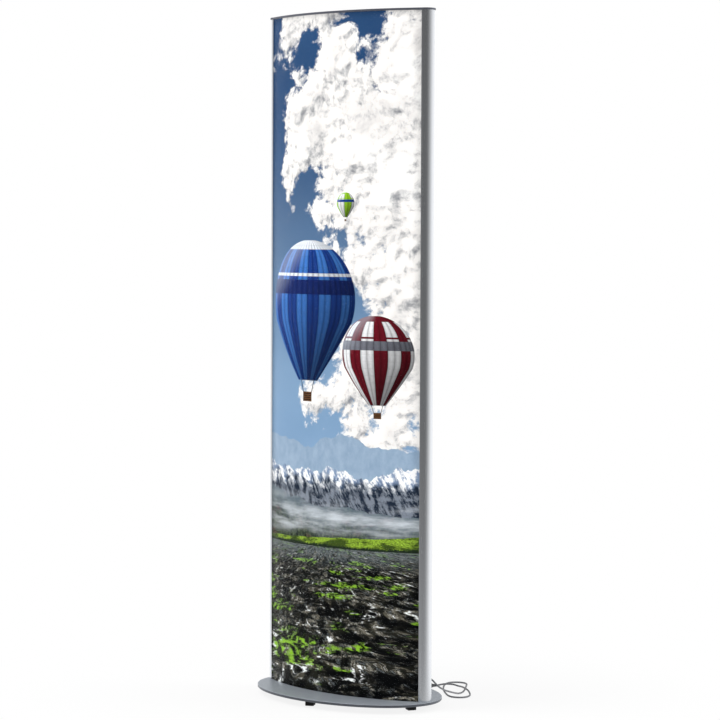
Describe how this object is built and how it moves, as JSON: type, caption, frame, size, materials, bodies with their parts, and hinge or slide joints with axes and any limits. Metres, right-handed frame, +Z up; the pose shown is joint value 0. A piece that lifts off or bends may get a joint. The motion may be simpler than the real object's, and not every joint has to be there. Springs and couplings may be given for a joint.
{
  "type": "display totem",
  "caption": "Tall backlit display totem: a lens-shaped body with a bowed printed front between rounded metal posts, on an oval base plate with small feet and a loose mains lead.",
  "frame": {"origin": "on the floor, under the middle of the base plate", "axes": "+Z up, the printed front faces -Y, +X to the right seen from the front"},
  "size_m": [0.6, 0.5956, 1.941],
  "materials": {
    "plate_silver": "silver satin coat",
    "black_rubber": "matt moulded",
    "zinc_steel": "bright zinc",
    "satin_aluminium": "satin anodised",
    "clear_cover": "clear, gloss",
    "printed_film": "printed, backlit",
    "opal_sheet": "opal",
    "back_composite": "silver lacquer",
    "mill_aluminium": "mill",
    "light_board": "white board",
    "white_plastic": "moulded",
    "cap_grey": "dark grey satin coat",
    "grey_plastic": "moulded",
    "grey_cord": "matt sheath",
    "pin_brass": "nickel plated"
  },
  "bodies": {
    "stand": {"base_plate": "plate_silver", "foot_nuts": "plate_silver", "left_post": "satin_aluminium", "right_post": "satin_aluminium", "base_screws": "zinc_steel", "former_screws": "zinc_steel", "front_cover": "clear_cover", "printed_film": "printed_film", "diffuser": "opal_sheet", "back_panel": "back_composite", "bottom_former": "mill_aluminium", "middle_former": "mill_aluminium", "top_former": "mill_aluminium", "light_carrier_left": "mill_aluminium", "light_carrier_right": "mill_aluminium", "light_strip_left": "light_board", "light_strip_right": "light_board", "driver": "white_plastic", "terminal_block": "white_plastic", "cord_boot": "grey_plastic", "boot_nut": "grey_plastic", "cord": "grey_cord", "cord_loops": "grey_cord", "plug_body": "grey_cord", "plug_pins": "pin_brass"},
    "foot_front": {"foot_front_pad": "black_rubber", "foot_front_stud": "zinc_steel"},
    "foot_right": {"foot_right_pad": "black_rubber", "foot_right_stud": "zinc_steel"},
    "foot_back": {"foot_back_pad": "black_rubber", "foot_back_stud": "zinc_steel"},
    "foot_left": {"foot_left_pad": "black_rubber", "foot_left_stud": "zinc_steel"},
    "cap": {"top_cap": "cap_grey", "cap_spigots": "mill_aluminium", "cap_screws": "zinc_steel"}
  },
  "joints": [
    {"name": "foot_front_level", "type": "slide", "parent": "stand", "child": "foot_front", "axis": [0, 0, -1], "range_m": [-0.002, 0.005]},
    {"name": "foot_right_level", "type": "slide", "parent": "stand", "child": "foot_right", "axis": [0, 0, -1], "range_m": [-0.002, 0.005]},
    {"name": "foot_back_level", "type": "slide", "parent": "stand", "child": "foot_back", "axis": [0, 0, -1], "range_m": [-0.002, 0.005]},
    {"name": "foot_left_level", "type": "slide", "parent": "stand", "child": "foot_left", "axis": [0, 0, -1], "range_m": [-0.002, 0.005]},
    {"name": "cap_lift", "type": "slide", "parent": "stand", "child": "cap", "axis": [0, 0, 1], "range_m": [0, 0.06]}
  ]
}
